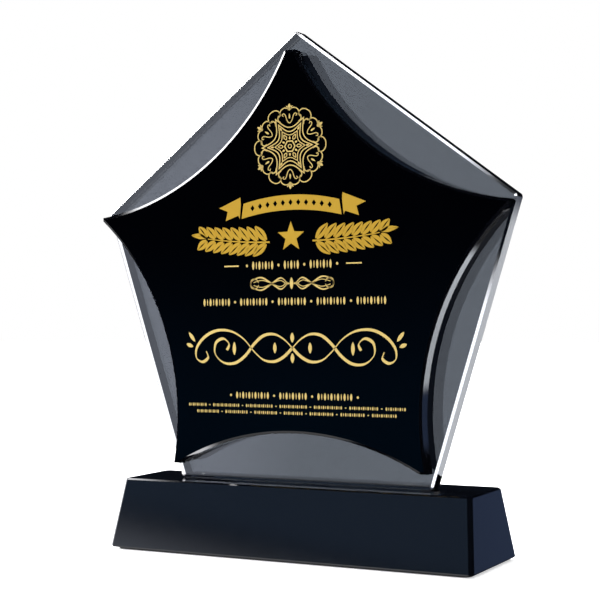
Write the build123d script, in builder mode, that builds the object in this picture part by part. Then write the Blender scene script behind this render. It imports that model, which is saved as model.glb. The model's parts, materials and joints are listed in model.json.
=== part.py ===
from build123d import *
import os
from math import cos, radians, sin

# Star trophy: a black crystal star bonded to a clear crystal pentagon that stands on a black plinth.
# Millimetres. +Z is up, the gold-printed face looks towards -Y, and +X is the viewer's right.
# The origin is the middle of the surface that the trophy stands on.

# ---------------------------------------------------------------- driving dimensions

# felt pad and plinth
PAD_THICKNESS = 1.0
PAD_INSET = 2.5
PAD_CORNER_R = 3.0
PLINTH_WIDTH = 166.0
PLINTH_DEPTH = 48.0
PLINTH_TOP_WIDTH = 159.6
PLINTH_TOP_DEPTH = 33.4
PLINTH_TOP_Z = 29.6
PLINTH_CORNER_BEVEL = 1.7
PLINTH_EDGE_BEVEL = 0.6

# clear films of adhesive, which stop short of the edges that they join
BOND = 0.2
BOND_INSET = 1.5
BOND_TIP_INSET = 3.0

# clear pentagon slab, centred on the plinth's depth
SLAB_THICKNESS = 8.0
SLAB_FOOT_HALF_WIDTH = 58.4
SLAB_SHOULDER_HALF_WIDTH = 95.1
SLAB_SHOULDER_Z = 144.3
SLAB_APEX_Z = 216.2
SLAB_BEVEL = 0.9
SLAB_CORNER_BEVEL = 0.7

# black star plate; its tips are sharp before they are cut
STAR_THICKNESS = 5.8
STAR_TIP_HALF_WIDTH = 96.0
STAR_TIP_Z = 142.2
STAR_APEX_Z = 212.4
STAR_FOOT_HALF_WIDTH = 59.4
STAR_FOOT_Z = 34.1
STAR_UPPER_SAGITTA = 15.8
STAR_SIDE_SAGITTA = 15.8
STAR_LOWER_SAGITTA = 16.5
STAR_CUT_TOP_Z = 207.4
STAR_CUT_HALF_WIDTH = 94.5
STAR_CUT_FOOT_Z = 36.3
STAR_BEVEL_WIDTH = 1.1
STAR_BEVEL_DEPTH = 0.64

# gold print on the star's face
PRINT_THICKNESS = 0.15
LINE = 0.55
FINE_LINE = 0.4

# six-fold rosette
ROSETTE_Z = 168.0
ROSETTE_REPEATS = 6
ROSETTE_TIP_R = 17.5
LOBE_CENTRE_R = 12.6
LOBE_R = 3.7
FINIAL_HALF_WIDTH = 1.1
FINIAL_GAP = 0.1
STAR_LINE_TIP_RADII = (12.6, 10.3, 6.6)
STAR_LINE_NOTCH_RATIO = 0.62
HUB_R = 2.5

# ribbon
RIBBON_Z = 142.0
RIBBON_HEIGHT = 6.2
RIBBON_HALF_WIDTH = 23.3
RIBBON_SLANT = 1.0
RIBBON_RISE = 2.8
RIBBON_TAIL_END = 34.2
RIBBON_STUDS = 11
RIBBON_STUD_STEP = 3.6
RIBBON_STUD_WIDTH = 2.0
RIBBON_STUD_HEIGHT = 2.6

# laurel under the ribbon, in the title's place
LAUREL_Z = 131.0
LAUREL_HALF_WIDTH = 47.5
LEAF_LENGTH = 8.2
LEAF_WIDTH = 2.9
LEAF_PAIRS = 8
LEAF_SPREAD = 40.0
LEAF_STEP = 4.2
LEAF_TAPER = 0.035
LEAF_BELLY = 0.45
END_LEAF_TILT = 6.0
END_LEAF_OVERLAP = 1.0
LAUREL_START = 8.5
LAUREL_RISE = 3.0
LAUREL_STEM_DROP = 2.0
LAUREL_STEM_STUB = 2.5
LAUREL_STAR_R = 6.4
LAUREL_STAR_NOTCH_RATIO = 0.42

# rows of small lozenges: height, half width, spacing and size of a lozenge
HEADING_ROW = {"z": 119.6, "half": 23.0, "step": 4.6, "width": 3.0, "height": 3.2}
HEADING_RULE_END = 32.5
UPPER_ROW = {"z": 104.6, "half": 42.0, "step": 4.2, "width": 2.6, "height": 3.2}
LOWER_ROW = {"z": 65.9, "half": 30.0, "step": 3.75, "width": 2.2, "height": 2.6}
FOOTER_TOP_ROW = {"z": 61.6, "half": 50.0, "step": 2.5, "width": 1.7, "height": 1.1}
FOOTER_BOTTOM_ROW = {"z": 58.9, "half": 47.5, "step": 2.5, "width": 1.7, "height": 1.1}

# interlaced scroll and pen flourish
SCROLL_Z = 112.0
SCROLL_NODE = 6.6
SCROLL_END = 19.8
SCROLL_SWING = 3.0
SCROLL_END_SWING = 2.4
SCROLL_GEM_WIDTH = 3.0
SCROLL_GEM_HEIGHT = 3.4
FLOURISH_Z = 85.6
FLOURISH_LINE = 0.7
# right half of the flourish: two strokes that cross and curl up at their ends
FLOURISH_LONG_STROKE = [
    (0, 0), (8, 4.6), (18, 5.2), (29, -0.5),
    (39, -4.6), (47, -2.0), (48.6, 3.0), (45, 4.6),
]
FLOURISH_SHORT_STROKE = [
    (0, 0), (7, -4.8), (17, -6.6), (26, -1.5),
    (33, 4.8), (39, 5.2), (40, 1.8), (36.8, 1.2),
]

# ---------------------------------------------------------------- derived places

slab_foot_z = PLINTH_TOP_Z + BOND
slab_front = SLAB_THICKNESS / 2
star_back = slab_front + BOND
star_front = star_back + STAR_THICKNESS

slab_plane = Plane.XZ.offset(-SLAB_THICKNESS / 2)
star_plane = Plane.XZ.offset(star_back)
print_plane = Plane.XZ.offset(star_front)

slab_outline = [
    (-SLAB_FOOT_HALF_WIDTH, slab_foot_z),
    (SLAB_FOOT_HALF_WIDTH, slab_foot_z),
    (SLAB_SHOULDER_HALF_WIDTH, SLAB_SHOULDER_Z),
    (0, SLAB_APEX_Z),
    (-SLAB_SHOULDER_HALF_WIDTH, SLAB_SHOULDER_Z),
]


def star_outline(shrink=0.0):
    """Closed concave outline of the star in the open BuildLine; shrink pulls the arcs inwards."""
    foot_left = (-STAR_FOOT_HALF_WIDTH, STAR_FOOT_Z)
    foot_right = (STAR_FOOT_HALF_WIDTH, STAR_FOOT_Z)
    tip_right = (STAR_TIP_HALF_WIDTH, STAR_TIP_Z)
    tip_left = (-STAR_TIP_HALF_WIDTH, STAR_TIP_Z)
    apex = (0, STAR_APEX_Z)
    SagittaArc(foot_left, foot_right, STAR_LOWER_SAGITTA + shrink)
    SagittaArc(foot_right, tip_right, STAR_SIDE_SAGITTA + shrink)
    SagittaArc(tip_right, apex, STAR_UPPER_SAGITTA + shrink)
    SagittaArc(apex, tip_left, STAR_UPPER_SAGITTA + shrink)
    SagittaArc(tip_left, foot_left, STAR_SIDE_SAGITTA + shrink)


def cut_star_tips(inset=0.0):
    """Keep only what lies inside the rectangle that cuts the star's tips square."""
    low = STAR_CUT_FOOT_Z + inset
    high = STAR_CUT_TOP_Z - inset
    with Locations((0, (low + high) / 2)):
        Rectangle(2 * (STAR_CUT_HALF_WIDTH - inset), high - low, mode=Mode.INTERSECT)


def polar(radius, degrees):
    """Point at a radius and an angle from the sketch's origin."""
    return (radius * cos(radians(degrees)), radius * sin(radians(degrees)))


def star_polygon(tip_radius):
    """Corners of a six-pointed star with one tip on the sketch's X axis."""
    notch_radius = tip_radius * STAR_LINE_NOTCH_RATIO
    corners = []
    for i in range(ROSETTE_REPEATS):
        corners.append(polar(tip_radius, 60 * i))
        corners.append(polar(notch_radius, 60 * i + 30))
    return corners


def lozenge(width, height, mode=Mode.ADD):
    """Small upright diamond at the open location."""
    Polygon((-width / 2, 0), (0, -height / 2), (width / 2, 0), (0, height / 2), mode=mode)


def leaf_outline(x, z, degrees, length, width):
    """Two arcs of a lens-shaped leaf in the open BuildLine, from its stalk end at (x, z)."""
    along = polar(length, degrees)
    belly = polar(LEAF_BELLY * length, degrees)
    side = polar(width / 2, degrees + 90)
    tip = (x + along[0], z + along[1])
    ThreePointArc((x, z), (x + belly[0] + side[0], z + belly[1] + side[1]), tip)
    ThreePointArc((x, z), (x + belly[0] - side[0], z + belly[1] - side[1]), tip)


def raised(points, height):
    """The same points, moved up by a height."""
    return [(x, z + height) for x, z in points]


def row_places(row):
    """Centres of a row of lozenges, evenly spaced and symmetric about X = 0."""
    count = int(round(2 * row["half"] / row["step"])) + 1
    return [(row["step"] * (i - (count - 1) / 2), row["z"]) for i in range(count)]


os.makedirs("parts", exist_ok=True)

# ---------------------------------------------------------------- plinth and its felt pad

with BuildPart() as base_pad:
    with BuildSketch(Plane.XY):
        RectangleRounded(PLINTH_WIDTH - 2 * PAD_INSET, PLINTH_DEPTH - 2 * PAD_INSET, PAD_CORNER_R)
    extrude(amount=PAD_THICKNESS)
base_pad.part.label = "base_pad"
export_step(base_pad.part, "parts/base_pad.step")

with BuildPart() as plinth:
    with BuildSketch(Plane.XY.offset(PAD_THICKNESS)):
        Rectangle(PLINTH_WIDTH, PLINTH_DEPTH)
    with BuildSketch(Plane.XY.offset(PLINTH_TOP_Z)):
        Rectangle(PLINTH_TOP_WIDTH, PLINTH_TOP_DEPTH)
    loft()
    flat_faces = plinth.faces().filter_by(Axis.Z)
    corner_edges = plinth.edges() - flat_faces.edges()
    chamfer(corner_edges, length=PLINTH_CORNER_BEVEL)
    flat_faces = plinth.faces().filter_by(Axis.Z)
    chamfer(flat_faces.edges(), length=PLINTH_EDGE_BEVEL)
plinth.part.label = "plinth"
export_step(plinth.part, "parts/plinth.step")

# ---------------------------------------------------------------- clear slab and the film under it

with BuildPart() as slab_bond:
    with BuildSketch(Plane.XY.offset(PLINTH_TOP_Z)):
        Rectangle(2 * (SLAB_FOOT_HALF_WIDTH - BOND_INSET), SLAB_THICKNESS - 2 * SLAB_BEVEL)
    extrude(amount=BOND)
slab_bond.part.label = "slab_bond"
export_step(slab_bond.part, "parts/slab_bond.step")

with BuildPart() as crystal_slab:
    with BuildSketch(slab_plane):
        with BuildLine():
            Polyline(*slab_outline, close=True)
        make_face()
    extrude(amount=SLAB_THICKNESS)
    chamfer(crystal_slab.edges().filter_by(Axis.Y), length=SLAB_CORNER_BEVEL)
    chamfer(crystal_slab.faces().filter_by(Axis.Y).edges(), length=SLAB_BEVEL)
crystal_slab.part.label = "crystal_slab"
export_step(crystal_slab.part, "parts/crystal_slab.step")

# ---------------------------------------------------------------- black star and the film behind it

with BuildPart() as star_bond:
    with BuildSketch(Plane.XZ.offset(slab_front)):
        with BuildLine():
            star_outline(shrink=BOND_INSET)
        make_face()
        cut_star_tips(inset=BOND_TIP_INSET)
    extrude(amount=BOND)
star_bond.part.label = "star_bond"
export_step(star_bond.part, "parts/star_bond.step")

with BuildPart() as star_plate:
    with BuildSketch(star_plane):
        with BuildLine():
            star_outline()
        make_face()
        cut_star_tips()
    extrude(amount=STAR_THICKNESS)
    star_face = star_plate.faces().filter_by(Axis.Y).sort_by(Axis.Y)[0]
    chamfer(star_face.edges(), length=STAR_BEVEL_WIDTH, length2=STAR_BEVEL_DEPTH, reference=star_face)
star_plate.part.label = "star_plate"
export_step(star_plate.part, "parts/star_plate.step")

# ---------------------------------------------------------------- gold rosette

rosette_plane = print_plane.shift_origin((0, -star_front, ROSETTE_Z))

with BuildPart() as rosette_lobes:
    with BuildSketch(rosette_plane):
        Circle(LOBE_CENTRE_R)
        with PolarLocations(LOBE_CENTRE_R, 2 * ROSETTE_REPEATS, start_angle=0):
            Circle(LOBE_R)
        Circle(LOBE_CENTRE_R - LINE, mode=Mode.SUBTRACT)
        with PolarLocations(LOBE_CENTRE_R, 2 * ROSETTE_REPEATS, start_angle=0):
            Circle(LOBE_R - LINE, mode=Mode.SUBTRACT)
    extrude(amount=PRINT_THICKNESS)
rosette_lobes.part.label = "rosette_lobes"
export_step(rosette_lobes.part, "parts/rosette_lobes.step")

finial_outline = [
    (FINIAL_GAP, -FINIAL_HALF_WIDTH),
    (ROSETTE_TIP_R - LOBE_CENTRE_R - LOBE_R, 0),
    (FINIAL_GAP, FINIAL_HALF_WIDTH),
]

with BuildPart() as rosette_finials:
    with BuildSketch(rosette_plane):
        with PolarLocations(LOBE_CENTRE_R + LOBE_R, ROSETTE_REPEATS, start_angle=30):
            Polygon(*finial_outline, align=None)
    extrude(amount=PRINT_THICKNESS)
rosette_finials.part.label = "rosette_finials"
export_step(rosette_finials.part, "parts/rosette_finials.step")

with BuildPart() as rosette_star:
    with BuildSketch(rosette_plane):
        for tip_radius in STAR_LINE_TIP_RADII:
            Polygon(*star_polygon(tip_radius), align=None)
            Polygon(*star_polygon(tip_radius - 2 * LINE), align=None, mode=Mode.SUBTRACT)
    extrude(amount=PRINT_THICKNESS)
rosette_star.part.label = "rosette_star"
export_step(rosette_star.part, "parts/rosette_star.step")

with BuildPart() as rosette_hub:
    with BuildSketch(rosette_plane):
        RegularPolygon(HUB_R, ROSETTE_REPEATS)
        RegularPolygon(HUB_R - LINE, ROSETTE_REPEATS, mode=Mode.SUBTRACT)
    extrude(amount=PRINT_THICKNESS)
rosette_hub.part.label = "rosette_hub"
export_step(rosette_hub.part, "parts/rosette_hub.step")

# ---------------------------------------------------------------- gold ribbon

ribbon_top = RIBBON_Z + RIBBON_HEIGHT

with BuildPart() as ribbon_band:
    with BuildSketch(print_plane):
        with BuildLine():
            lower = ThreePointArc(
                (-RIBBON_HALF_WIDTH, RIBBON_Z - RIBBON_RISE),
                (0, RIBBON_Z),
                (RIBBON_HALF_WIDTH, RIBBON_Z - RIBBON_RISE),
            )
            upper = ThreePointArc(
                (-RIBBON_HALF_WIDTH + RIBBON_SLANT, ribbon_top - RIBBON_RISE),
                (0, ribbon_top),
                (RIBBON_HALF_WIDTH - RIBBON_SLANT, ribbon_top - RIBBON_RISE),
            )
            Line(lower @ 0, upper @ 0)
            Line(lower @ 1, upper @ 1)
        make_face()
        for i in range(RIBBON_STUDS):
            x = (i - (RIBBON_STUDS - 1) / 2) * RIBBON_STUD_STEP
            drop = RIBBON_RISE * (x / RIBBON_HALF_WIDTH) ** 2
            with Locations((x, RIBBON_Z + RIBBON_HEIGHT / 2 - drop)):
                lozenge(RIBBON_STUD_WIDTH, RIBBON_STUD_HEIGHT, mode=Mode.SUBTRACT)
    extrude(amount=PRINT_THICKNESS)
ribbon_band.part.label = "ribbon_band"
export_step(ribbon_band.part, "parts/ribbon_band.step")

# the right tail's corners: its folded end beside the band, then its swallow-tailed free end
ribbon_tail_outline = [
    (RIBBON_HALF_WIDTH + 0.5, ribbon_top - 0.1),
    (RIBBON_TAIL_END, ribbon_top - 4.2),
    (RIBBON_TAIL_END - 4.2, ribbon_top - 5.8),
    (RIBBON_TAIL_END - 3.2, ribbon_top - 9.6),
    (RIBBON_HALF_WIDTH + 1.6, ribbon_top - 7.6),
    (RIBBON_HALF_WIDTH + 0.9, ribbon_top - 9.0),
    (RIBBON_HALF_WIDTH + 0.3, ribbon_top - 3.0),
]

with BuildPart() as ribbon_tails:
    with BuildSketch(print_plane):
        Polygon(*ribbon_tail_outline, align=None)
        mirror(about=Plane.YZ)
    extrude(amount=PRINT_THICKNESS)
ribbon_tails.part.label = "ribbon_tails"
export_step(ribbon_tails.part, "parts/ribbon_tails.step")

# ---------------------------------------------------------------- gold laurel with a small star


def laurel_stem(x):
    """Height of the laurel's stem, which rises away from the middle."""
    return LAUREL_Z - LAUREL_STEM_DROP + LAUREL_RISE * (x / LAUREL_HALF_WIDTH) ** 2


laurel_leaves = []
for i in range(LEAF_PAIRS):
    x = LAUREL_START + LEAF_STEP * i
    length = LEAF_LENGTH * (1 - LEAF_TAPER * i)
    laurel_leaves.append((x, laurel_stem(x), LEAF_SPREAD, length))
    laurel_leaves.append((x, laurel_stem(x), -LEAF_SPREAD, length))
stem_start = LAUREL_START - LAUREL_STEM_STUB
stem_end = LAUREL_START + LEAF_STEP * LEAF_PAIRS
end_leaf_x = stem_end - END_LEAF_OVERLAP
laurel_leaves.append((end_leaf_x, laurel_stem(end_leaf_x), END_LEAF_TILT, LAUREL_HALF_WIDTH - end_leaf_x))

with BuildPart() as laurel_sprigs:
    with BuildSketch(print_plane):
        with BuildLine():
            ThreePointArc(
                (stem_start, laurel_stem(stem_start)),
                (stem_end / 2, laurel_stem(stem_end / 2)),
                (stem_end, laurel_stem(stem_end)),
            )
        trace(line_width=LINE)
        for x, z, degrees, length in laurel_leaves:
            with BuildLine():
                leaf_outline(x, z, degrees, length, LEAF_WIDTH)
            make_face()
        mirror(about=Plane.YZ)
    extrude(amount=PRINT_THICKNESS)
laurel_sprigs.part.label = "laurel_sprigs"
export_step(laurel_sprigs.part, "parts/laurel_sprigs.step")

laurel_star_corners = []
for i in range(5):
    laurel_star_corners.append(polar(LAUREL_STAR_R, 90 + 72 * i))
    laurel_star_corners.append(polar(LAUREL_STAR_NOTCH_RATIO * LAUREL_STAR_R, 126 + 72 * i))

with BuildPart() as laurel_star:
    with BuildSketch(print_plane.shift_origin((0, -star_front, LAUREL_Z))):
        Polygon(*laurel_star_corners, align=None)
    extrude(amount=PRINT_THICKNESS)
laurel_star.part.label = "laurel_star"
export_step(laurel_star.part, "parts/laurel_star.step")

# ---------------------------------------------------------------- rows of lozenges between the ornaments

with BuildPart() as heading_row:
    with BuildSketch(print_plane):
        with Locations(*row_places(HEADING_ROW)):
            lozenge(HEADING_ROW["width"], HEADING_ROW["height"])
        rule_length = HEADING_RULE_END - HEADING_ROW["half"] - HEADING_ROW["width"]
        rule_x = HEADING_RULE_END - rule_length / 2
        with Locations((-rule_x, HEADING_ROW["z"]), (rule_x, HEADING_ROW["z"])):
            Rectangle(rule_length, FINE_LINE)
    extrude(amount=PRINT_THICKNESS)
heading_row.part.label = "heading_row"
export_step(heading_row.part, "parts/heading_row.step")

with BuildPart() as upper_row:
    with BuildSketch(print_plane):
        with Locations(*row_places(UPPER_ROW)):
            lozenge(UPPER_ROW["width"], UPPER_ROW["height"])
    extrude(amount=PRINT_THICKNESS)
upper_row.part.label = "upper_row"
export_step(upper_row.part, "parts/upper_row.step")

with BuildPart() as lower_row:
    with BuildSketch(print_plane):
        with Locations(*row_places(LOWER_ROW)):
            lozenge(LOWER_ROW["width"], LOWER_ROW["height"])
    extrude(amount=PRINT_THICKNESS)
lower_row.part.label = "lower_row"
export_step(lower_row.part, "parts/lower_row.step")

with BuildPart() as footer_rows:
    with BuildSketch(print_plane):
        for row in (FOOTER_TOP_ROW, FOOTER_BOTTOM_ROW):
            with Locations(*row_places(row)):
                lozenge(row["width"], row["height"])
    extrude(amount=PRINT_THICKNESS)
footer_rows.part.label = "footer_rows"
export_step(footer_rows.part, "parts/footer_rows.step")

# ---------------------------------------------------------------- gold scroll and pen flourish

scroll_wave = [
    (-SCROLL_END, 0),
    (-(SCROLL_NODE + SCROLL_END) / 2, -SCROLL_END_SWING),
    (-SCROLL_NODE, 0),
    (0, SCROLL_SWING),
    (SCROLL_NODE, 0),
    ((SCROLL_NODE + SCROLL_END) / 2, -SCROLL_END_SWING),
    (SCROLL_END, 0),
]

with BuildPart() as scroll:
    with BuildSketch(print_plane):
        for strand in (scroll_wave, [(x, -z) for x, z in scroll_wave]):
            with BuildLine():
                Spline(*raised(strand, SCROLL_Z))
            trace(line_width=LINE)
        with Locations((0, SCROLL_Z)):
            lozenge(SCROLL_GEM_WIDTH, SCROLL_GEM_HEIGHT)
    extrude(amount=PRINT_THICKNESS)
scroll.part.label = "scroll"
export_step(scroll.part, "parts/scroll.step")

with BuildPart() as flourish:
    with BuildSketch(print_plane):
        for pen_stroke in (FLOURISH_LONG_STROKE, FLOURISH_SHORT_STROKE):
            with BuildLine():
                Spline(*raised(pen_stroke, FLOURISH_Z))
            trace(line_width=FLOURISH_LINE)
        mirror(about=Plane.YZ)
    extrude(amount=PRINT_THICKNESS)
flourish.part.label = "flourish"
export_step(flourish.part, "parts/flourish.step")
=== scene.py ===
import json
import math

import bmesh
import bpy
from mathutils import Matrix, Vector


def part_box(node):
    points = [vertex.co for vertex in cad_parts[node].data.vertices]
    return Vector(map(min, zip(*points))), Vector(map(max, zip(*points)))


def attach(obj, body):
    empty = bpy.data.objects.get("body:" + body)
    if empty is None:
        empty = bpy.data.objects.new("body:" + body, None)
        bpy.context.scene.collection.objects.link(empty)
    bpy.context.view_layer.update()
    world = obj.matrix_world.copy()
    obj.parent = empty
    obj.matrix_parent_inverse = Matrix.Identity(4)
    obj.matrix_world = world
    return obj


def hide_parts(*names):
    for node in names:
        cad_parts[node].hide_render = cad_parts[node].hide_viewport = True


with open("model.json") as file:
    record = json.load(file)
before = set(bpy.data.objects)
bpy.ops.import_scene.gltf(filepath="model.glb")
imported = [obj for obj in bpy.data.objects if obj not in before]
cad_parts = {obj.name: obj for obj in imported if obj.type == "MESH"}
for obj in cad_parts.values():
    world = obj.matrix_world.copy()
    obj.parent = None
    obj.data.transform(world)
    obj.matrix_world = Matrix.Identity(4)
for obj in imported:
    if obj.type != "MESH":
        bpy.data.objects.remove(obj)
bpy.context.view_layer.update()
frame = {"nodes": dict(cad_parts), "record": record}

# Star trophy: a black crystal star on a clear crystal pentagon, on a black crystal plinth.
# Metres, in the CAD frame: +Z up, the gold face looks towards -Y, the floor is Z = 0.

SCENE = bpy.context.scene

# ---------------------------------------------------------------- camera

CAMERA_AZIMUTH = math.radians(28.49)
CAMERA_ELEVATION = math.radians(-0.21)
CAMERA_ROLL = math.radians(-0.72)
CAMERA_DISTANCE = 0.5977
CAMERA_TARGET = Vector((-0.00165, 0.0, 0.10516))
CAMERA_LENS_MM = 86.42
CAMERA_SENSOR_MM = 36.0
CAMERA_CLIP_START = 0.01


def make_camera():
    """Camera to the right of the trophy, level with its middle."""
    back = Vector((
        math.sin(CAMERA_AZIMUTH) * math.cos(CAMERA_ELEVATION),
        -math.cos(CAMERA_AZIMUTH) * math.cos(CAMERA_ELEVATION),
        math.sin(CAMERA_ELEVATION),
    ))
    level = Vector((math.cos(CAMERA_AZIMUTH), math.sin(CAMERA_AZIMUTH), 0.0))
    upright = back.cross(level)
    right = level * math.cos(CAMERA_ROLL) + upright * math.sin(CAMERA_ROLL)
    up = upright * math.cos(CAMERA_ROLL) - level * math.sin(CAMERA_ROLL)
    data = bpy.data.cameras.new("camera")
    data.lens = CAMERA_LENS_MM
    data.sensor_width = CAMERA_SENSOR_MM
    data.clip_start = CAMERA_CLIP_START
    camera = bpy.data.objects.new("camera", data)
    SCENE.collection.objects.link(camera)
    turn = Matrix((right, up, back)).transposed()
    place = Matrix.Translation(CAMERA_TARGET + back * CAMERA_DISTANCE)
    camera.matrix_world = place @ turn.to_4x4()
    SCENE.camera = camera


# ---------------------------------------------------------------- node helpers


# The Mix node has the sockets of all its data types; these are the colour ones.
MIX_COLOUR_INPUTS = ("i6", "i7")
MIX_COLOUR_OUTPUT = 2


class Shader:
    """Short names for making one material's or world's nodes."""

    def __init__(self, tree):
        self.tree = tree
        tree.nodes.clear()

    def node(self, kind, **inputs):
        made = self.tree.nodes.new(kind)
        for name, value in inputs.items():
            self.set(made, name, value)
        return made

    def set(self, node, name, value):
        """Sets or links an input by its name, or by its number as i0, i1 and so on."""
        by_number = name[0] == "i" and name[1:].isdigit()
        socket = node.inputs[int(name[1:]) if by_number else name]
        if isinstance(value, bpy.types.NodeSocket):
            self.tree.links.new(value, socket)
        else:
            socket.default_value = value

    def math(self, operation, a, b):
        made = self.node("ShaderNodeMath", i0=a, i1=b)
        made.operation = operation
        return made.outputs[0]

    def vector(self, operation, a, b):
        made = self.tree.nodes.new("ShaderNodeVectorMath")
        made.operation = operation
        self.set(made, "i0", a)
        self.set(made, "i1", b)
        return made.outputs["Value" if operation == "DOT_PRODUCT" else "Vector"]

    def grey_ramp(self, fac, low, high):
        """Grey from one (place, level) stop to another."""
        made = self.node("ShaderNodeValToRGB", Fac=fac)
        for element, (place, level) in zip(made.color_ramp.elements, (low, high)):
            element.position = place
            element.color = (level, level, level, 1.0)
        return made.outputs["Color"]

    def smooth(self, value, low, high):
        made = self.tree.nodes.new("ShaderNodeMapRange")
        made.interpolation_type = "SMOOTHSTEP"
        self.set(made, "Value", value)
        made.inputs["From Min"].default_value = low
        made.inputs["From Max"].default_value = high
        return made.outputs["Result"]

    def mix(self, fac, a, b):
        made = self.tree.nodes.new("ShaderNodeMix")
        made.data_type = "RGBA"
        self.set(made, "i0", fac)
        for name, value in zip(MIX_COLOUR_INPUTS, (a, b)):
            if not isinstance(value, bpy.types.NodeSocket):
                value = (*value, 1.0)
            self.set(made, name, value)
        return made.outputs[MIX_COLOUR_OUTPUT]

    def noise(self, vector, scale, detail=2.0, roughness=0.5):
        made = self.node(
            "ShaderNodeTexNoise", Vector=vector, Scale=scale, Detail=detail, Roughness=roughness
        )
        return made.outputs["Fac"]


def new_material(name):
    made = bpy.data.materials.new(name)
    made.use_nodes = True
    return made, Shader(made.node_tree)


# ---------------------------------------------------------------- studio

BACKDROP = (1.0, 1.0, 1.0)       # what the camera sees
MATT_LIGHT = (0.85, 0.86, 0.88)  # what lights the matt surfaces
ROOM = (0.004, 0.005, 0.008)     # what the crystal sees
ROOM_FLOOR = (0.95, 0.96, 0.98)

# The pale part of the room's floor: the heights of a direction between which it fades out, the
# azimuth of its middle, and how far off that it fades, as cosines.
FLOOR_TOP = (-0.34, -0.24)
FLOOR_AZIMUTH = -60
FLOOR_SIDES = (0.05, 0.4)

FLOOR_HALF_SIZE = 3.0
FLOOR_GLOW = 0.55

# The room that the crystal mirrors and refracts: four-sided lights and screens with soft edges, as
# (azimuth, elevation) corners in degrees, the width of the soft edge in degrees, and the colour.
# Later ones are in front of earlier ones. Azimuth 0 is in front of the trophy, positive towards +X.
FLATS = (
    # front left: the main light and, nearer the middle, a weaker fill
    (((-52, -16), (-28, -16), (-28, 12), (-52, 12)), 4.0, (1.80, 1.95, 2.30)),
    (((-28, -16), (-5, -16), (-5, 12), (-28, 12)), 4.0, (1.40, 1.55, 1.80)),
    # above it, a dim blue screen that the plinth's front mirrors
    (((-60, 14), (5, 14), (5, 40), (-60, 40)), 2.0, (0.17, 0.27, 0.44)),
    # rear right: a low light, and a dim screen above it that the plinth's end mirrors
    (((156, -26), (170, -26), (170, -9), (156, -9)), 2.0, (2.50, 2.60, 2.80)),
    (((150, -7), (170, -7), (170, -2), (150, -2)), 2.0, (0.11, 0.16, 0.31)),
    # left: a high light and a low one
    (((-124, 8), (-124, 50), (-76, 50), (-76, 8)), 4.0, (20.0, 20.0, 20.5)),
    (((-138, -14), (-138, 6), (-116, 6), (-116, -14)), 3.0, (1.50, 1.50, 1.60)),
    # rear right, higher up
    (((144, 8), (156, 8), (156, 26), (144, 26)), 3.0, (1.30, 1.30, 1.35)),
    # overhead
    (((10, 77), (30, 87), (100, 87), (60, 77)), 2.0, (12.0, 12.0, 12.5)),
    # low in front
    (((-24, -58), (-24, -46), (0, -46), (0, -58)), 4.0, (12.0, 12.0, 12.5)),
)


def toward(azimuth, elevation):
    """Unit vector; azimuth 0 is in front of the trophy (-Y), positive towards +X, in degrees."""
    a, e = math.radians(azimuth), math.radians(elevation)
    return Vector((math.sin(a) * math.cos(e), -math.cos(a) * math.cos(e), math.sin(e)))


def flat_mask(s, direction, corners, soft):
    """1 inside the convex outline of a flat, falling to 0 over its soft edge."""
    corners = [toward(*corner) for corner in corners]
    middle = sum(corners, Vector()).normalized()
    inside = s.math("GREATER_THAN", s.vector("DOT_PRODUCT", direction, tuple(middle)), 0.0)
    for corner, following in zip(corners, corners[1:] + corners[:1]):
        across = corner.cross(following).normalized()
        if across.dot(middle) < 0:
            across.negate()
        depth = s.vector("DOT_PRODUCT", direction, tuple(across))
        inside = s.math("MULTIPLY", inside, s.smooth(depth, -math.radians(soft), 0.0))
    return inside


def make_world():
    """White backdrop to the camera, even light to matt surfaces, the dark room to the crystal."""
    world = bpy.data.worlds.new("studio")
    SCENE.world = world
    world.use_nodes = True
    s = Shader(world.node_tree)
    seen = s.node("ShaderNodeTexCoord").outputs["Generated"]
    direction = s.vector("NORMALIZE", seen, (0, 0, 0))
    path = s.node("ShaderNodeLightPath").outputs
    height = s.node("ShaderNodeSeparateXYZ", Vector=direction).outputs["Z"]

    # the dark room, with its pale floor
    low = s.math("SUBTRACT", 1.0, s.smooth(height, *FLOOR_TOP))
    nearness = s.vector("DOT_PRODUCT", direction, tuple(toward(FLOOR_AZIMUTH, 0)))
    floor_level = s.math("MULTIPLY", low, s.smooth(nearness, *FLOOR_SIDES))
    room = s.mix(floor_level, ROOM, ROOM_FLOOR)
    for corners, soft, colour in FLATS:
        room = s.mix(flat_mask(s, direction, corners, soft), room, colour)

    colour = s.mix(path["Is Diffuse Ray"], room, MATT_LIGHT)
    colour = s.mix(path["Is Camera Ray"], colour, BACKDROP)
    background = s.node("ShaderNodeBackground", Color=colour, Strength=1.0)
    output = s.node("ShaderNodeOutputWorld")
    s.tree.links.new(background.outputs[0], output.inputs["Surface"])


def make_floor():
    """Pale matt floor; it isn't mirrored, so that the black crystal stays black."""
    mesh = bpy.data.meshes.new("floor")
    made = bmesh.new()
    bmesh.ops.create_grid(made, x_segments=1, y_segments=1, size=FLOOR_HALF_SIZE)
    made.to_mesh(mesh)
    made.free()
    floor = bpy.data.objects.new("floor", mesh)
    SCENE.collection.objects.link(floor)
    material, s = new_material("floor_paint")
    grain = s.noise(s.node("ShaderNodeTexCoord").outputs["Object"], 60.0, 3.0)
    colour = s.mix(grain, (0.90, 0.90, 0.90), (0.94, 0.94, 0.94))
    shader = s.node("ShaderNodeBsdfDiffuse", Color=colour)
    glow = s.node("ShaderNodeEmission", Color=colour, Strength=FLOOR_GLOW)
    both = s.node("ShaderNodeAddShader", i0=shader.outputs[0], i1=glow.outputs[0])
    output = s.node("ShaderNodeOutputMaterial")
    s.tree.links.new(both.outputs[0], output.inputs["Surface"])
    mesh.materials.append(material)
    floor.visible_glossy = False
    floor.visible_transmission = False


# ---------------------------------------------------------------- materials


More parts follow.
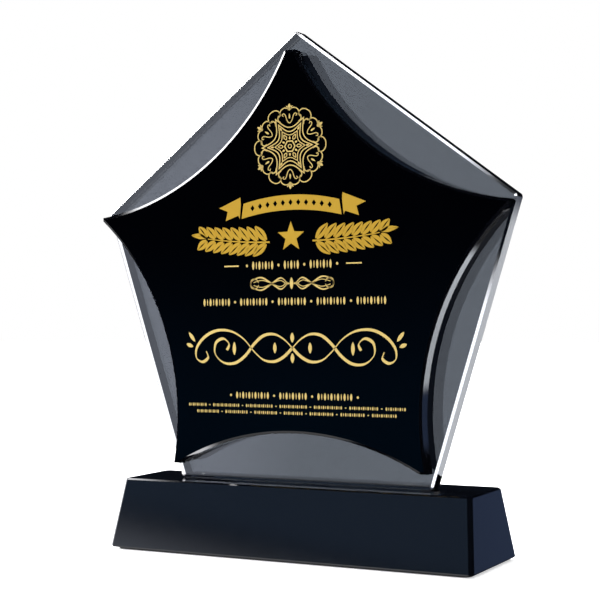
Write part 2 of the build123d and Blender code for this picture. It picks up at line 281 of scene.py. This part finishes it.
def principled(s, **inputs):
    shader = s.node("ShaderNodeBsdfPrincipled", **inputs)
    output = s.node("ShaderNodeOutputMaterial")
    s.tree.links.new(shader.outputs[0], output.inputs["Surface"])
    return shader


def bump(s, height, strength, distance):
    made = s.node("ShaderNodeBump", Height=height, Strength=strength, Distance=distance)
    return made.outputs["Normal"]


def clear_crystal():
    material, s = new_material("clear_crystal")
    place = s.node("ShaderNodeTexCoord").outputs["Object"]
    cloud = s.noise(place, 18.0, 2.0)
    colour = s.mix(cloud, (0.90, 0.925, 0.935), (0.94, 0.955, 0.96))
    principled(s, **{
        "Base Color": colour,
        "Roughness": 0.0,
        "IOR": 1.52,
        "Transmission Weight": 1.0,
    })
    return material


STAR_BLACK = (0.0006, 0.0007, 0.0012), (0.0010, 0.0011, 0.0018)
PLINTH_BLACK = (0.0010, 0.0013, 0.0022), (0.0016, 0.0020, 0.0032)


def black_crystal(name, tone_low, tone_high):
    """Opaque polished crystal with a very faint uneven polish."""
    material, s = new_material(name)
    place = s.node("ShaderNodeTexCoord").outputs["Object"]
    cloud = s.noise(place, 25.0, 3.0)
    wipe = s.noise(place, 400.0, 4.0, 0.6)
    colour = s.mix(cloud, tone_low, tone_high)
    roughness = s.grey_ramp(wipe, (0.3, 0.03), (0.75, 0.07))
    principled(s, **{
        "Base Color": colour,
        "Roughness": roughness,
        "IOR": 1.5,
        "Normal": bump(s, wipe, 0.02, 0.00002),
    })
    return material


INK_THICKNESS = 0.00005
# The low tone is a painted reflection: faint blue painted into the ink towards the bottom of the
# star.
INK_LOW_PAINTED_REFLECTION = (0.0003, 0.0016, 0.0034)   # faintly blue towards the bottom of the star
INK_HIGH = (0.0001, 0.0001, 0.0003)
INK_CLOUD = (0.0004, 0.0006, 0.0012)
INK_PAINTED_REFLECTION_FADE = (0.04, 0.15)              # heights between which the tint fades


def black_ink():
    """Printed black ground: no mirror sheen, a fine even grain, and a painted blue reflection that
    grows towards the bottom of the star.
    """
    material, s = new_material("black_ink")
    place = s.node("ShaderNodeTexCoord").outputs["Object"]
    grain = s.noise(place, 3000.0, 3.0, 0.6)
    cloud = s.noise(place, 22.0, 3.0)
    height = s.node("ShaderNodeSeparateXYZ", Vector=place).outputs["Z"]
    # painted reflection: the ground goes from faint blue at the bottom of the star to the plain ink
    # tone higher up
    ground = s.mix(s.smooth(height, *INK_PAINTED_REFLECTION_FADE), INK_LOW_PAINTED_REFLECTION, INK_HIGH)
    colour = s.mix(s.math("MULTIPLY", cloud, 0.5), ground, INK_CLOUD)
    principled(s, **{
        "Base Color": colour,
        "Roughness": s.grey_ramp(grain, (0.3, 0.25), (0.8, 0.40)),
        "Specular IOR Level": 0.0,
        "Normal": bump(s, grain, 0.1, 0.00002),
    })
    return material


# Each gold: its two base colours and the lighter colour of its painted glints. The fine gold is a
# lighter copy of the bold one, a painted highlight.
BOLD_GOLD = (0.42, 0.215, 0.010), (0.50, 0.29, 0.020), (0.60, 0.42, 0.07)
FINE_GOLD_PAINTED_HIGHLIGHT = (0.56, 0.36, 0.075), (0.68, 0.48, 0.13), (0.80, 0.66, 0.34)


def gold_print(name, low, high, painted_glint):
    """Matt metallic print with fine painted glints in its colour; the fine lines get a lighter copy,
    a painted highlight for catching more light than the broad ones.
    """
    material, s = new_material(name)
    place = s.node("ShaderNodeTexCoord").outputs["Object"]
    grain = s.noise(place, 2600.0, 3.0, 0.65)
    cloud = s.noise(place, 35.0, 2.0)
    colour = s.mix(cloud, low, high)
    # painted glints: the fine grain mixes specks of the lighter glint colour into the gold
    colour = s.mix(s.math("MULTIPLY", grain, 0.35), colour, painted_glint)
    roughness = s.grey_ramp(grain, (0.3, 0.38), (0.8, 0.58))
    principled(s, **{
        "Base Color": colour,
        "Metallic": 0.8,
        "Roughness": roughness,
        "Normal": bump(s, grain, 0.25, 0.00004),
    })
    return material


def felt():
    material, s = new_material("felt")
    place = s.node("ShaderNodeTexCoord").outputs["Object"]
    fibre = s.noise(place, 1800.0, 5.0, 0.7)
    colour = s.mix(fibre, (0.008, 0.008, 0.010), (0.035, 0.035, 0.040))
    principled(s, **{
        "Base Color": colour,
        "Roughness": 0.95,
        "Sheen Weight": 0.4,
        "Normal": bump(s, fibre, 0.8, 0.0003),
    })
    return material


def adhesive():
    material, s = new_material("adhesive")
    place = s.node("ShaderNodeTexCoord").outputs["Object"]
    cloud = s.noise(place, 60.0, 3.0)
    colour = s.mix(cloud, (0.86, 0.88, 0.90), (0.93, 0.94, 0.95))
    principled(s, **{
        "Base Color": colour,
        "Roughness": 0.02,
        "IOR": 1.5,
        "Transmission Weight": 1.0,
    })
    return material


def paint_nodes():
    """Every CAD node gets the material of its slot."""
    made = {
        "clear_crystal": clear_crystal(),
        "star_crystal": black_crystal("star_crystal", *STAR_BLACK),
        "black_crystal": black_crystal("plinth_crystal", *PLINTH_BLACK),
        "gold_print": gold_print("gold_print", *BOLD_GOLD),
        "felt": felt(),
        "adhesive": adhesive(),
    }
    slot_of = {part["node"]: part["material_slot"] for part in frame["record"]["subparts"]}
    for name, node in frame["nodes"].items():
        for material_slot in node.material_slots:
            material_slot.material = made[slot_of[name]]


# ---------------------------------------------------------------- pieces

MM = 0.001
FACES_FRONT = -0.999      # a face's normal along Y when it looks straight ahead
SAME_PLANE = 1e-5

# Millimetres, apart from MITRE_LIMIT, which is a cosine, the two widths of beads and reels, which
# are parts of the pitch, and the two heights of reels and studs, which are parts of a bead's height.
FINE_LINE = 0.42
HAIR_LINE = 0.34
TIP_WIDTH = 0.12
MITRE_LIMIT = 0.4
ROSETTE_CENTRE = (0.0, 168.0)
LAUREL_Z = 131.0
BEAD_WIDTH = 0.30
REEL_WIDTH = 0.10
REEL_HEIGHT = 0.42
STUD_HEIGHT = 0.35
RULE_GAP = 1.5
RULE_WIDTH = 0.55
SCROLL_Z = 112.0
FLOURISH_Z = 85.6


def make_star_print(material):
    """Black ink over the star's face, inside its chamfer; the gold artwork lies on it."""
    made = bmesh.new()
    made.from_mesh(frame["nodes"]["star_plate"].data)
    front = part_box("star_plate")[0][1]
    edges_and_backs = [
        face for face in made.faces
        if face.normal.y > FACES_FRONT
        or abs(face.calc_center_median().y - front) > SAME_PLANE
    ]
    bmesh.ops.delete(made, geom=edges_and_backs, context="FACES")
    lifted = bmesh.ops.extrude_face_region(made, geom=list(made.faces))["geom"]
    lifted = [part for part in lifted if isinstance(part, bmesh.types.BMVert)]
    bmesh.ops.translate(made, verts=lifted, vec=(0, -INK_THICKNESS, 0))
    bmesh.ops.recalc_face_normals(made, faces=made.faces)
    mesh = bpy.data.meshes.new("star_print")
    made.to_mesh(mesh)
    made.free()
    mesh.materials.append(material)
    piece = bpy.data.objects.new("star_print", mesh)
    SCENE.collection.objects.link(piece)
    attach(piece, "root")


class Artwork:
    """Gold motifs on the star's face, drawn in millimetres across (x) and up (z)."""

    def __init__(self, name, *replaced):
        self.name = name
        self.replaced = replaced
        low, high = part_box(replaced[0])
        self.depths = (high[1], low[1])
        self.mesh = bmesh.new()

    def line(self, path, width, closed=False):
        """Flat stroke along a path; width is a number or a function of (place 0..1, direction)."""
        points = [Vector(point) for point in path]
        count = len(points)
        rings = []
        for index, point in enumerate(points):
            before = points[index - 1] if index or closed else None
            after = points[(index + 1) % count] if index < count - 1 or closed else None
            sides = []
            if before is not None:
                sides.append((point - before).normalized())
            if after is not None:
                sides.append((after - point).normalized())
            direction = sum(sides, Vector((0, 0))).normalized()
            across = Vector((-direction.y, direction.x))
            mitre = 1 / max(abs(direction.dot(sides[0])), MITRE_LIMIT)
            wide = width(index / (count - 1), direction) if callable(width) else width
            reach = across * (wide / 2) * mitre
            ring = []
            for edge, depth in ((1, 0), (1, 1), (-1, 1), (-1, 0)):
                place = point + reach * edge
                ring.append(self.mesh.verts.new((place.x * MM, self.depths[depth], place.y * MM)))
            rings.append(ring)
        pairs = list(zip(rings, rings[1:]))
        if closed:
            pairs.append((rings[-1], rings[0]))
        else:
            self.mesh.faces.new(rings[0])
            self.mesh.faces.new(rings[-1])
        for ring, following in pairs:
            for side in range(4):
                other = (side + 1) % 4
                self.mesh.faces.new((ring[side], ring[other], following[other], following[side]))

    def leaf(self, start, end, wide, belly=0.4, bend=0.0):
        """Pointed leaf, lozenge-like when short; belly is where it is widest, bend bows it."""
        start, end = Vector(start), Vector(end)
        along = end - start
        middle = start + along / 2 + Vector((-along.y, along.x)) * bend
        path = curve([start, middle, end], 6)
        power = math.log(0.5) / math.log(belly)
        self.line(path, lambda place, _: TIP_WIDTH + wide * math.sin(math.pi * place ** power))

    def finish(self, material):
        bmesh.ops.recalc_face_normals(self.mesh, faces=self.mesh.faces)
        mesh = bpy.data.meshes.new(self.name)
        self.mesh.to_mesh(mesh)
        self.mesh.free()
        mesh.materials.append(material)
        piece = bpy.data.objects.new(self.name, mesh)
        SCENE.collection.objects.link(piece)
        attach(piece, "root")
        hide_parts(*self.replaced)


def curve(points, steps, closed=False):
    """Smooth (Catmull-Rom) curve through a few points."""
    points = [Vector(point) for point in points]
    count = len(points)

    def at(index):
        return points[index % count if closed else min(max(index, 0), count - 1)]

    made = []
    for index in range(count if closed else count - 1):
        a, b, c, d = (at(index + offset) for offset in (-1, 0, 1, 2))
        for step in range(steps):
            t = step / steps
            made.append(0.5 * (
                2 * b + (c - a) * t + (2 * a - 5 * b + 4 * c - d) * t ** 2
                + (3 * b - a - 3 * c + d) * t ** 3
            ))
    if not closed:
        made.append(points[-1])
    return made


def mirrored(points):
    """Half an outline, then the same seen in a mirror, back to front."""
    return list(points) + [(u, -v) for u, v in reversed(points[:-1])]


def petal_place(angle, centre):
    """Turns (outwards, sideways) of one petal into (x, z) around the rosette's centre."""
    turn = math.radians(angle)

    def place(point):
        u, v = point
        return Vector((
            centre[0] + u * math.cos(turn) - v * math.sin(turn),
            centre[1] + u * math.sin(turn) + v * math.cos(turn),
        ))

    return place


def notched_star(tip, notch, steps=7):
    """Six-pointed star with straight-sided tips and smooth hollows between them."""
    outline = []
    corner = (notch - tip * math.cos(math.radians(30)) / 4) / 0.75
    for turn in range(0, 360, 60):
        here, there = (petal_place(turn + step, ROSETTE_CENTRE)((tip, 0)) for step in (0, 60))
        pull = petal_place(turn + 30, ROSETTE_CENTRE)((corner, 0))
        start, end = (here + pull) / 2, (there + pull) / 2
        outline.append(here)
        for step in range(steps + 1):
            t = step / steps
            outline.append(start * (1 - t) ** 2 + pull * 2 * t * (1 - t) + end * t ** 2)
    return outline


# Outlines of the rosette's motifs, as (outwards, sideways) in millimetres; the mirrored ones are
# given by one half.
LOBE = mirrored([(13.0, 1.4), (13.2, 2.4), (14.2, 3.0), (15.5, 2.6), (16.4, 1.4), (16.6, 0)])
DROP = [(3.2, 0), (4.0, 0.6), (4.6, 0.45), (5.4, 0), (4.6, -0.45), (4.0, -0.6)]
HEART = mirrored([
    (9.9, -4.2), (10.9, -5.3), (12.4, -5.2), (12.9, -4.2), (13.6, -4.4), (14.9, -3.9),
    (15.7, -2.4), (15.5, -0.9), (14.8, 0),
])
CHEVRON = mirrored([
    (12.3, -2.9), (12.9, -3.4), (13.4, -2.7), (12.7, -1.9), (10.5, -1.1), (9.5, 0),
])
# The nested stars: tip radius, notch radius, line width.
NESTED_STARS = ((13.0, 7.7, FINE_LINE), (10.3, 6.0, FINE_LINE), (7.0, 4.6, HAIR_LINE))
# The rings in the middle: radius, degrees between corners, line width.
HUB_RINGS = ((2.4, 60, 0.5), (0.8, 45, 0.3))


def make_rosette(material):
    """Six hearts with finials and six plain lobes around three nested stars."""
    art = Artwork("fine_rosette", "rosette_star", "rosette_lobes", "rosette_finials", "rosette_hub")
    for turn in range(0, 360, 60):
        lobe = petal_place(turn, ROSETTE_CENTRE)
        art.line([lobe(point) for point in curve(LOBE, 6)], FINE_LINE)
        art.line([lobe(point) for point in curve(DROP, 5, closed=True)], HAIR_LINE, closed=True)
        art.leaf(lobe((7.5, 0)), lobe((9.0, 0)), 0.6)
        heart = petal_place(turn + 30, ROSETTE_CENTRE)
        art.line([heart(point) for point in curve(HEART, 6)], FINE_LINE)
        art.leaf(heart((15.0, 0)), heart((17.5, 0)), 1.5, 0.3)
        for side in (1, -1):
            art.leaf(heart((15.5, 0.4 * side)), heart((16.6, 1.5 * side)), 0.5)
        art.line([heart(point) for point in curve(CHEVRON, 6)], HAIR_LINE)
        art.leaf(heart((11.3, 0)), heart((13.4, 0)), 0.6)
        art.leaf(heart((2.8, 0)), heart((4.0, 0)), 0.7)
    for tip, notch, width in NESTED_STARS:
        art.line(notched_star(tip, notch), width, closed=True)
    for radius, step, width in HUB_RINGS:
        ring = [petal_place(turn, ROSETTE_CENTRE)((radius, 0)) for turn in range(0, 360, step)]
        art.line(ring, width, closed=True)
    art.finish(material)


LAUREL_LEAVES = 8            # pairs on each sprig
LAUREL_FIRST_LEAF = 11       # from the middle of the star
LAUREL_LEAF_STEP = 4.1
LAUREL_LEAF_LENGTH = 9.0
LAUREL_LEAF_TAPER = 0.28     # each pair is this much shorter than the one before
LAUREL_LEAF_SPREAD = 44      # degrees either side of the stem
LAUREL_LEAF_LEAN = 5
LAUREL_HALF_LEAF = 1.42      # width of each half


def half_leaf_width(place, _):
    return TIP_WIDTH + LAUREL_HALF_LEAF * math.sin(math.pi * place ** 0.8)


def make_laurel(material):
    """Two sprigs, every leaf in two halves with a bare vein between them."""
    art = Artwork("fine_laurel", "laurel_sprigs")
    for side in (1, -1):
        def place(x, z):
            return (side * x, LAUREL_Z + z)

        def stem(x):
            return 0.0022 * (x - 8) ** 2 - 1.9

        art.line([place(x, stem(x)) for x in range(10, 42, 2)], lambda t, _: 0.7 - 0.35 * t)
        for index in range(LAUREL_LEAVES):
            x = LAUREL_FIRST_LEAF + index * LAUREL_LEAF_STEP
            long = LAUREL_LEAF_LENGTH - LAUREL_LEAF_TAPER * index
            for up in (1, -1):
                lean = math.radians(LAUREL_LEAF_SPREAD) * up + math.radians(LAUREL_LEAF_LEAN)
                root = Vector((x, stem(x)))
                ahead = Vector((math.cos(lean), math.sin(lean)))
                beside = Vector((-ahead.y, ahead.x))
                for half in (1, -1):
                    start = root + ahead * 0.9 + beside * (0.30 * half)
                    end = root + ahead * long + beside * (0.14 * half)
                    middle = (start + end) / 2 + beside * (0.82 * half)
                    path = curve([place(*start), place(*middle), place(*end)], 6)
                    art.line(path, half_leaf_width)
        tip = stem(42) + 0.6
        for half in (1, -1):
            middle = place(44, tip + 0.4 + 0.62 * half)
            path = curve([place(40.5, tip - 0.4), middle, place(48.2, tip + 1.0)], 7)
            art.line(path, lambda t, _: TIP_WIDTH + 1.0 * math.sin(math.pi * t))
    art.finish(material)


def nib(thin, thick, slant):
    """Width of a broad pen's stroke, by its direction."""
    edge = Vector((math.cos(math.radians(slant)), math.sin(math.radians(slant))))
    return lambda place, direction: thin + (thick - thin) * abs(direction.cross(edge)) ** 1.5


# One side of the flourish, as (x, z) from its middle.
FLOURISH_WAVES = (
    [(0, 0), (4, 3.6), (8.5, 5.6), (13.5, 5.0), (18, 1.6), (22.5, -3.4), (27.5, -6.4),
     (33, -6.2), (37, -2.6), (36.6, 2.0), (33, 3.8), (30.2, 1.6), (31.2, -1.0)],
    [(0, 0), (4, -3.6), (8.5, -5.6), (13.5, -5.0), (18, -1.6), (23, 3.6), (29, 6.8),
     (36, 7.2), (42, 4.6), (46, 0.2), (46.4, -4.2), (43.4, -6.0), (40.6, -4.2), (41.4, -1.6)],
)
FLOURISH_LEAVES = (
    ((8.2, -2.2), (8.2, 2.2)),
    ((27.6, -3.0), (27.6, 2.4)),
    ((47.0, 2.6), (50.0, 6.4)),
    ((48.0, 0.4), (51.2, 1.6)),
)


def make_flourish(material):
    """Pen flourish of crossing waves that end in curls, with leaves in the loops."""
    art = Artwork("fine_flourish", "flourish")
    for side in (1, -1):
        for wave in FLOURISH_WAVES:
            path = curve([(side * x, FLOURISH_Z + z) for x, z in wave], 9)
            art.line(path, nib(0.38, 1.25, 58 * side))
        for leaf in FLOURISH_LEAVES:
            start, end = ((side * x, FLOURISH_Z + z) for x, z in leaf)
            art.leaf(start, end, 1.5, 0.5)
    art.leaf((0, FLOURISH_Z + 2.2), (0, FLOURISH_Z + 6.2), 1.6, 0.5)
    art.leaf((0, FLOURISH_Z - 2.2), (0, FLOURISH_Z - 6.2), 1.6, 0.5)
    art.finish(material)


# One quarter of the scroll, as (x, z) from its middle.
SCROLL_WAVE = [
    (1.9, 0), (5, 2.3), (9.3, 0), (14.3, -2.6), (18.9, -1.1), (18.9, 1.4), (16.7, 1.9), (15.6, 0.5),
]
SCROLL_INNER_POINTS = 5    # the inner line follows only this many of them


def make_scroll(material):
    """Small double scroll with a gem in the middle."""
    art = Artwork("fine_scroll", "scroll")
    for side in (1, -1):
        for up in (1, -1):
            path = curve([(side * x, SCROLL_Z + up * z) for x, z in SCROLL_WAVE], 7)
            art.line(path, nib(0.3, 0.62, 60 * side * up))
            inner = [
                (side * (x * 0.9 + 0.9), SCROLL_Z + up * z * 0.55)
                for x, z in SCROLL_WAVE[:SCROLL_INNER_POINTS]
            ]
            art.line(curve(inner, 7), 0.28)
        art.leaf((side * 0.9, SCROLL_Z), (side * 3.4, SCROLL_Z), 0.7, 0.5)
    art.leaf((0, SCROLL_Z - 2.4), (0, SCROLL_Z + 2.4), 1.5, 0.5)
    art.finish(material)


def bead_row(art, z, half, tall, pitch, group, rule):
    """Border of upright beads with a thin reel between each two, in groups with a stud between
    each two groups, and a rule at each end."""
    count = int(half / pitch)
    for index in range(-count, count + 1):
        x = index * pitch
        stud = abs(index) % group == group // 2
        reach = tall * (STUD_HEIGHT if stud else 1.0) / 2
        art.leaf((x, z - reach), (x, z + reach), pitch * BEAD_WIDTH, 0.5)
        if index < count and not stud and abs(index + 1) % group != group // 2:
            x += pitch / 2
            reach = tall * REEL_HEIGHT
            art.leaf((x, z - reach), (x, z + reach), pitch * REEL_WIDTH, 0.5)
    if rule:
        for side in (1, -1):
            start = half + RULE_GAP
            art.line([(side * start, z), (side * (start + rule), z)], RULE_WIDTH)


# Piece, the CAD node that it replaces, and its rows: height of the middle line, half length,
# bead height, pitch, beads in a group, length of the end rules.
ROWS = (
    ("fine_heading", "heading_row", [(119.6, 23.5, 3.5, 3.0, 5, 7.0)]),
    ("fine_upper", "upper_row", [(104.6, 42.0, 3.2, 3.0, 6, 0.0)]),
    ("fine_lower", "lower_row", [(65.9, 30.5, 2.9, 2.95, 7, 0.0)]),
    ("fine_footer", "footer_rows", [
        (61.6, 50.0, 1.4, 2.0, 8, 0.0),
        (58.9, 47.5, 1.4, 2.0, 7, 0.0),
    ]),
)


def make_rows(material):
    for name, node, rows in ROWS:
        art = Artwork(name, node)
        for row in rows:
            bead_row(art, *row)
        art.finish(material)


def make_gold(bold, fine):
    make_rosette(fine)
    make_laurel(bold)
    make_flourish(fine)
    make_scroll(fine)
    make_rows(fine)


# ---------------------------------------------------------------- the whole scene

SCENE.view_settings.view_transform = "Standard"
make_camera()
make_world()
make_floor()
paint_nodes()
make_star_print(black_ink())
make_gold(
    bold=frame["nodes"]["laurel_star"].material_slots[0].material,
    # the fine lines' gold is a lighter copy of the bold gold: a painted highlight
    fine=gold_print("fine_gold_painted_highlight", *FINE_GOLD_PAINTED_HIGHLIGHT),
)
